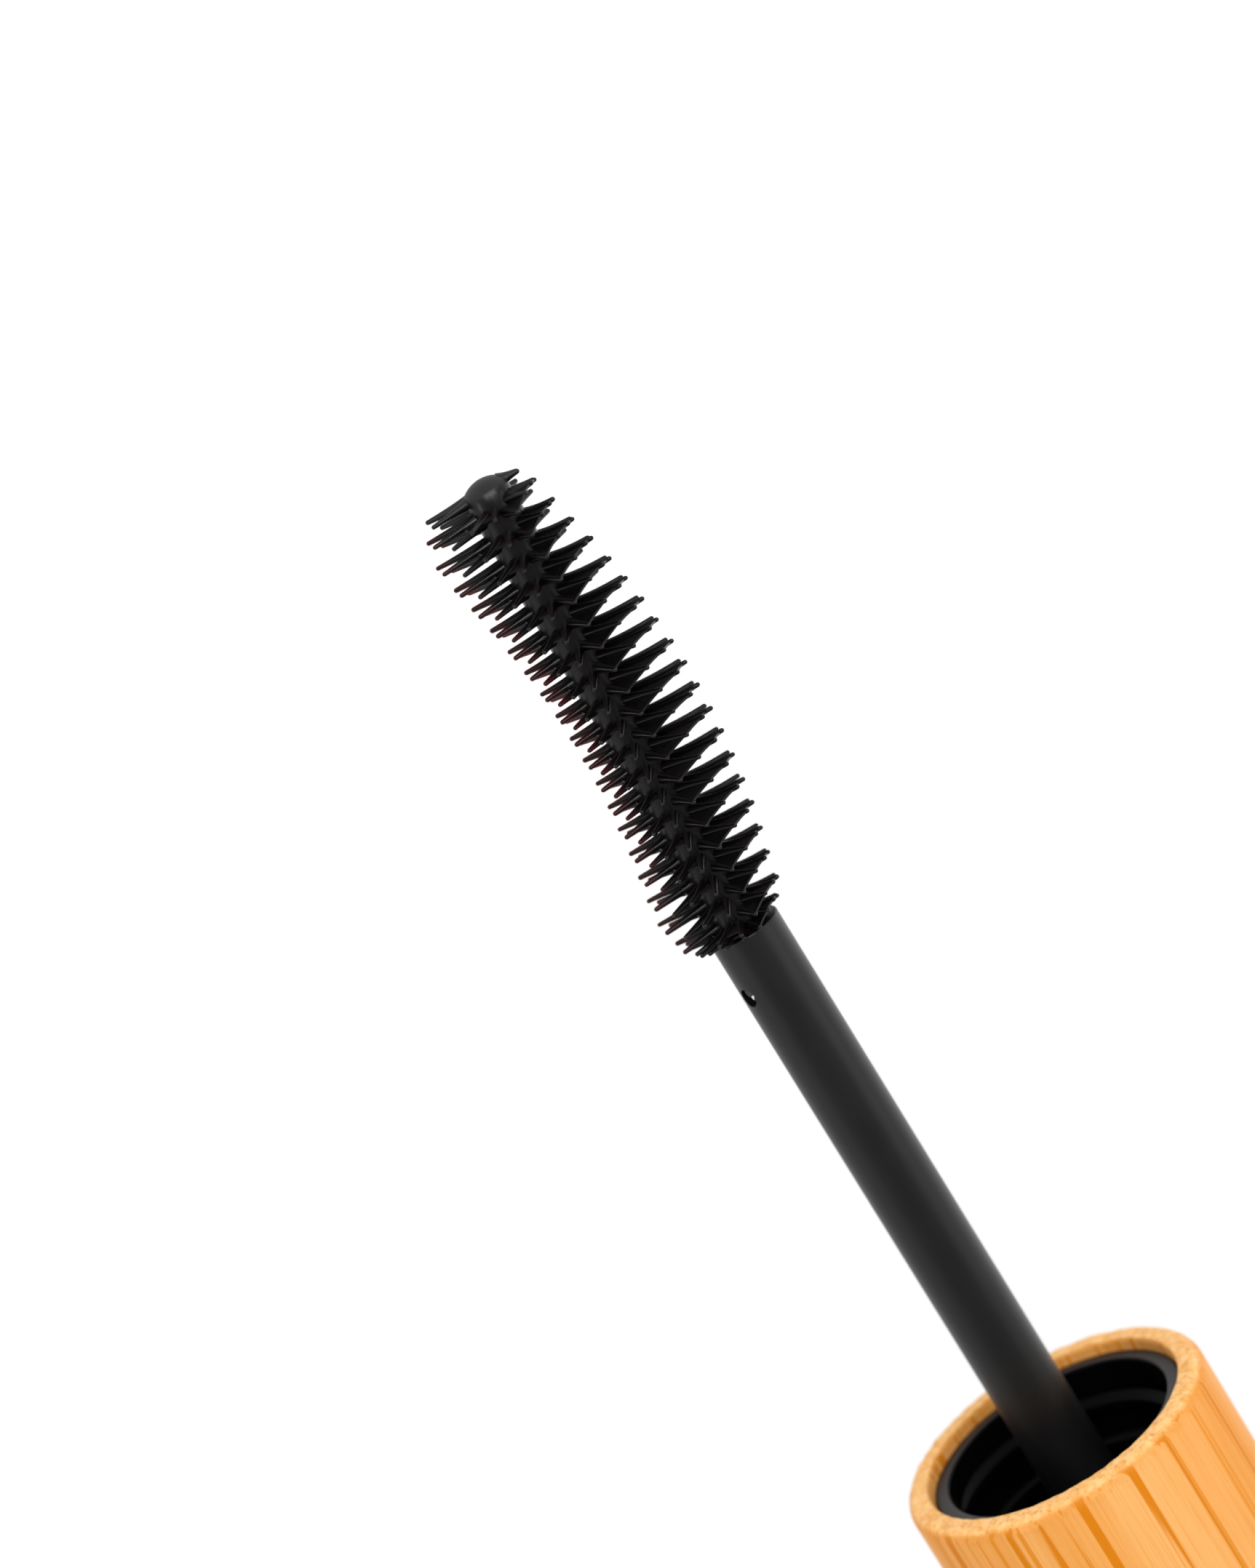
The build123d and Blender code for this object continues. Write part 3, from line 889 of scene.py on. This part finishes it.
def bristle_line(height, degrees):
    """Root and tip of the bristle at this turn, from -90 to 270 degrees, about the core.

    On the bulge the tips of a ring lean so that they lie together as the camera sees them, and
    the bristle opposite leans towards the dome.
    """
    turn = math.radians(degrees)
    centre, radius = envelope(height)
    core_x = core_centre(height)
    across = (centre - core_x) * math.cos(turn)
    reach = across + math.sqrt(across ** 2 + radius ** 2 - (centre - core_x) ** 2)
    outward = Vector((math.cos(turn), math.sin(turn), 0))
    start = Vector((core_x, 0, height + row_rise(height, degrees)))
    tip = start + outward * reach
    if within(degrees, BULGE_TURNS):
        tip.z += TIP_LEAN * (180 + BRISTLE_PHASE - degrees) / BRISTLE_STEP
    if degrees == BRISTLE_PHASE:
        tip.z -= TIP_LEAN
    return start + outward * (CORE_R - ROOT_DEPTH), tip


def bristle_solid(root, tip, girth, root_r, sides=10, cap_steps=5):
    """Tapered bristle with a flared root and a round end, cut flat just short of its point."""
    axis = tip - root
    length = axis.length
    axis.normalize()
    up = Vector((0, 0, 1))
    up = (up - axis * up.dot(axis)).normalized()
    side = axis.cross(up)
    end_r = BRISTLE_TIP_R * girth
    places = []
    for share in (0.0, 0.12, 0.22, 0.34, 0.5, 0.7, 0.88):
        flare = (root_r - BRISTLE_MIDDLE_R) * (1 - share) ** FLARE_POWER
        thinning = (BRISTLE_TIP_R - BRISTLE_MIDDLE_R) * share ** TAPER_POWER
        places.append((share * (length - end_r), (flare + BRISTLE_MIDDLE_R + thinning) * girth))
    for step in range(cap_steps):
        lean = math.pi / 2 * step / (cap_steps - 0.6)
        places.append((length - end_r + end_r * math.sin(lean), end_r * math.cos(lean)))
    sections = []
    for distance, radius in places:
        middle = root + axis * distance
        ring = []
        for number in range(sides):
            spin = 2 * math.pi * number / sides
            ring.append(tuple(middle + (up * math.cos(spin) + side * math.sin(spin)) * radius))
        sections.append(ring)
    return swept_tube(sections)


def film_reach(height, degrees):
    """Share of the bristles' length that the film at this turn covers. The first ring has none."""
    if height == FIRST_RING_Z:
        return 0.0
    for turns, reach in FILM_REACHES:
        if within(degrees, turns):
            return reach
    return 0.0


def film_solid(line_a, line_b, reach):
    """Thin film between two neighbouring bristles, hollowed a little at its free edge."""
    root_a, tip_a = line_a
    root_b, tip_b = line_b
    out_a = root_a + (tip_a - root_a) * reach
    out_b = root_b + (tip_b - root_b) * reach
    root_middle = (root_a + root_b) / 2
    middle = (out_a + out_b) / 2
    middle += (root_middle - middle) * FILM_HOLLOW
    half = Vector((0, 0, FILM_THICKNESS / 2))
    flat = [root_a, out_a, middle, out_b, root_b]
    return swept_tube([[tuple(point + lift) for point in flat] for lift in (-half, half)])


def brush_core(dome_steps=8):
    """Leaning core with a domed end, and the waisted shank inside the rod."""
    dome_r = (CORE_R ** 2 + TIP_DOME ** 2) / (2 * TIP_DOME)
    edge_lean = math.asin(CORE_R / dome_r)
    outline = []
    for step in range(dome_steps + 1):
        lean = edge_lean * step / dome_steps
        outline.append((dome_r * math.sin(lean), BRUSH_TIP_Z + dome_r * (1 - math.cos(lean))))
    outline[-1] = (CORE_R - 0.04, outline[-1][1] - 0.02)
    waist_low = LOCK_Z - 2 * LOCK_R
    waist_high = LOCK_Z + 2 * LOCK_R
    outline += [
        (CORE_R, BRUSH_TIP_Z + TIP_DOME + 0.04),
        (CORE_R, JUNCTION_Z - 0.25),
        (CORE_R + 0.12, JUNCTION_Z - 0.08),
        (SHANK_R, JUNCTION_Z + 0.02),
        (SHANK_R, waist_low),
        (WAIST_R, waist_low + 0.1),
        (WAIST_R, waist_high - 0.1),
        (SHANK_R, waist_high),
        (SHANK_R, JUNCTION_Z + SHANK_LENGTH),
        (0, JUNCTION_Z + SHANK_LENGTH),
    ]
    return lathe("bristle_brush", outline, 96, core_centre)


def ring_lines(height, picker):
    """Root and tip of every bristle of a ring, each tip a little off its exact place."""
    lines = []
    for degrees in TURNS:
        signed = degrees if degrees < 270 else degrees - 360
        root, tip = bristle_line(height, signed)
        tip += Vector((0, 0, TIP_SCATTER * (picker.random() - 0.5)))
        tip -= (tip - root) * LENGTH_SCATTER * picker.random()
        lines.append((root, tip))
    return lines


def is_left_out(height, degrees):
    """The dome is bare in front, and at the rod the staggered back bristles have no room."""
    if height == FIRST_RING_Z:
        return within(degrees, BARE_DOME_TURNS)
    return height == LAST_RING_Z and within(degrees, BACK_TURNS)


def root_radius(height, degrees):
    """Bristles of the bulge have wider roots, but not on the dome."""
    if height != FIRST_RING_Z and within(degrees, BULGE_TURNS):
        return LONG_BRISTLE_ROOT_R
    return BRISTLE_ROOT_R


def make_brush(material):
    """Core with its bristles and films, joined in two lots each so that neighbours don't touch."""
    picker = random.Random(11)
    bristles = [[], []]
    films = [[], []]
    for height in RING_HEIGHTS:
        lines = ring_lines(height, picker)
        for number, line in enumerate(lines):
            degrees = TURNS[number]
            girth = GIRTH_LEAST + GIRTH_SCATTER * picker.random()
            if is_left_out(height, degrees):
                continue
            solid = bristle_solid(*line, girth, root_radius(height, degrees))
            bristles[number % 2].append(solid)
            following = lines[(number + 1) % BRISTLES]
            reach = film_reach(height, degrees + BRISTLE_STEP / 2)
            reach -= FILM_SCATTER * picker.random()
            same_row = abs(following[0].z - line[0].z) < RING_PITCH / 2
            if reach > FILM_LEAST and same_row:
                films[number % 2].append(film_solid(line, following, reach))
    mesh = brush_core()
    for solids in (*bristles, *films):
        mesh = combine(mesh, joined("bristles", solids), "UNION")
    lug = joined("lug", [radial_pin(LUG_R, LUG_Z, LUG_REACH, LOCK_TURN)])
    mesh = combine(mesh, lug, "UNION")
    shade_by_angle(mesh, 42)
    add_object("bristle_brush", mesh, material, "wand", ["brush"])


# --- build ----------------------------------------------------------------------------------

# Insert and vial: polished, with painted light on faces that look up or down and painted shade on
# the rest
black = plastic_material("black_satin", rgb(13, 13, 15), 0.4, 26.0, 0.004, polished_with_painted_light=True)
rod_black = plastic_material("rod_satin", rgb(13, 13, 14), 0.36, 30.0, 0.003)
elastomer = brush_material()
wiper_rubber = plastic_material("wiper_soft", rgb(190, 190, 192), 0.45, 12.0, 0.01)
washer_foam = plastic_material("washer_foam", rgb(52, 52, 55), 0.75, 14.0, 0.05)
paste = plastic_material("mascara_cream", rgb(10, 10, 11), 0.18, 1.6, 0.25)

make_cap_sleeve()
make_tube_sleeve()
make_insert(black)
make_vial(black)
make_wiper(wiper_rubber)
make_rod(rod_black)
make_brush(elastomer)
for node, material in (("cap_washer", washer_foam), ("mascara_paste", paste)):
    cad = frame["nodes"][node]
    cad.data.materials.clear()
    cad.data.materials.append(material)

# --- stage, light and camera ----------------------------------------------------------------


FLOOR_R = 800
FLOOR_THICKNESS = 4


def make_floor():
    """Plain pale disc that the tube stands on."""
    outline = rounded([
        (0, 0, 0),
        (0, -FLOOR_THICKNESS, 0),
        (FLOOR_R, -FLOOR_THICKNESS, 0),
        (FLOOR_R, 0, 2),
    ], 4)
    mesh = lathe("floor", outline, 128)
    s = Shader("floor_pale")
    speckle = s.noise(s.place(0.35), 3.0)
    s.set(
        s.surface,
        Base_Color=s.blend(speckle, rgb(236, 236, 236), rgb(242, 242, 242)),
        Roughness=0.6,
    )
    floor = add_object("floor", mesh, s.material)


# Camera: its place from the middle of the cap's rim, and its aim, up at the brush
CAMERA_DISTANCE = 255.13
CAMERA_BELOW = math.radians(24.87)
AIM_ELEVATION = math.radians(14.498)
AIM_HEADING = math.radians(0.333)
WAND_SLANT = math.radians(-148.295)
FIELD_TALL = math.radians(21.138)
SENSOR = 36.0
APERTURE = 28.0
FOCUS_IN_FRONT = 2.0


def make_camera():
    """Below and in front of the hanging wand, rolled so that the wand slants across the frame."""
    data = bpy.data.cameras.new("camera")
    camera = bpy.data.objects.new("camera", data)
    bpy.context.scene.collection.objects.link(camera)
    camera.location = Vector((
        0,
        -CAMERA_DISTANCE * math.cos(CAMERA_BELOW),
        RIM_Z - CAMERA_DISTANCE * math.sin(CAMERA_BELOW),
    )) * MM
    forward = Vector((
        math.sin(AIM_HEADING) * math.cos(AIM_ELEVATION),
        math.cos(AIM_HEADING) * math.cos(AIM_ELEVATION),
        math.sin(AIM_ELEVATION),
    ))
    upright = forward.to_track_quat("-Z", "Y")
    camera.rotation_mode = "QUATERNION"
    camera.rotation_quaternion = Matrix.Rotation(WAND_SLANT, 3, forward).to_quaternion() @ upright
    data.sensor_fit = "VERTICAL"
    data.sensor_height = SENSOR
    data.sensor_width = SENSOR
    data.lens = SENSOR / 2 / math.tan(FIELD_TALL / 2)
    data.clip_start = 1 * MM
    data.clip_end = 10000 * MM
    focus = bpy.data.objects.new("focus", None)
    bpy.context.scene.collection.objects.link(focus)
    focus.location = Vector((0, -FOCUS_IN_FRONT, (JUNCTION_Z + BRUSH_TIP_Z) / 2)) * MM
    data.dof.use_dof = True
    data.dof.focus_object = focus
    data.dof.aperture_fstop = APERTURE
    bpy.context.scene.camera = camera


# World: how strongly it lights the object, from different sides
NEAR_LIGHT = 0.34
FAR_LIGHT = 1.0
PLUS_X_LIGHT = 0.85
MINUS_X_LIGHT = 1.3
WHITE = (1, 1, 1, 1)


def make_world():
    """White studio. The camera sees plain white, but as a light the world is uneven.

    It is dimmer on the camera's side, and brightest towards -X, the side of the brush's bulge.
    """
    world = bpy.data.worlds.new("studio")
    bpy.context.scene.world = world
    world.use_nodes = True
    tree = world.node_tree
    nodes = tree.nodes
    links = tree.links
    nodes.clear()

    def maths(operation, first, second):
        """Result of two values or links."""
        node = nodes.new("ShaderNodeMath")
        node.operation = operation
        for place, value in enumerate((first, second)):
            if isinstance(value, bpy.types.NodeSocket):
                links.new(value, node.inputs[place])
            else:
                node.inputs[place].default_value = value
        return node.outputs[0]

    def smooth(value, low, high, out_low, out_high):
        """out_low at low, out_high at high, smooth between and level outside."""
        node = nodes.new("ShaderNodeMapRange")
        node.interpolation_type = "SMOOTHSTEP"
        links.new(value, node.inputs["Value"])
        for key, number in (
            ("From Min", low), ("From Max", high), ("To Min", out_low), ("To Max", out_high)
        ):
            node.inputs[key].default_value = number
        return node.outputs["Result"]

    def background(strength):
        """White light of this strength, from a value or a link."""
        node = nodes.new("ShaderNodeBackground")
        node.inputs["Color"].default_value = WHITE
        if isinstance(strength, bpy.types.NodeSocket):
            links.new(strength, node.inputs["Strength"])
        else:
            node.inputs["Strength"].default_value = strength
        return node.outputs[0]

    # Directions as seen from the object; the dim side is turned a little from -Y towards -X
    where = nodes.new("ShaderNodeTexCoord").outputs["Generated"]
    parts = nodes.new("ShaderNodeSeparateXYZ")
    links.new(where, parts.inputs[0])
    sideways = parts.outputs[0]
    backwards = parts.outputs[1]
    away = maths("ADD", maths("MULTIPLY", backwards, 0.95), maths("MULTIPLY", sideways, 0.31))
    by_depth = smooth(away, -1.0, 0.1, NEAR_LIGHT, FAR_LIGHT)
    by_side = smooth(sideways, 0.6, -0.8, PLUS_X_LIGHT, MINUS_X_LIGHT)
    lit = background(maths("MULTIPLY", by_depth, by_side))
    shown = background(1.0)
    mix = nodes.new("ShaderNodeMixShader")
    links.new(nodes.new("ShaderNodeLightPath").outputs["Is Camera Ray"], mix.inputs[0])
    links.new(lit, mix.inputs[1])
    links.new(shown, mix.inputs[2])
    output = nodes.new("ShaderNodeOutputWorld")
    links.new(mix.outputs[0], output.inputs["Surface"])


def make_light(name, place, target, size, power):
    """Soft rectangular lamp aimed at a point, with its sides in millimetres and power in watts."""
    data = bpy.data.lights.new(name, "AREA")
    data.shape = "RECTANGLE"
    data.size = size[0] * MM
    data.size_y = size[1] * MM
    data.energy = power
    lamp = bpy.data.objects.new(name, data)
    bpy.context.scene.collection.objects.link(lamp)
    lamp.location = Vector(place) * MM
    direction = Vector(target) - Vector(place)
    lamp.rotation_mode = "QUATERNION"
    lamp.rotation_quaternion = direction.to_track_quat("-Z", "Y")


make_floor()
make_world()
brush_end = (0, 0, JUNCTION_Z)
cap_mouth = (0, 0, RIM_Z)
make_light("key", (-420, -260, JUNCTION_Z + 60), brush_end, size=(260, 260), power=0.22)
make_light("fill", (380, -200, JUNCTION_Z - 40), brush_end, size=(120, 120), power=0.12)
make_light("low", (-60, -260, 22), cap_mouth, size=(300, 36), power=0.45)
make_camera()
bpy.context.scene.view_settings.view_transform = "Standard"
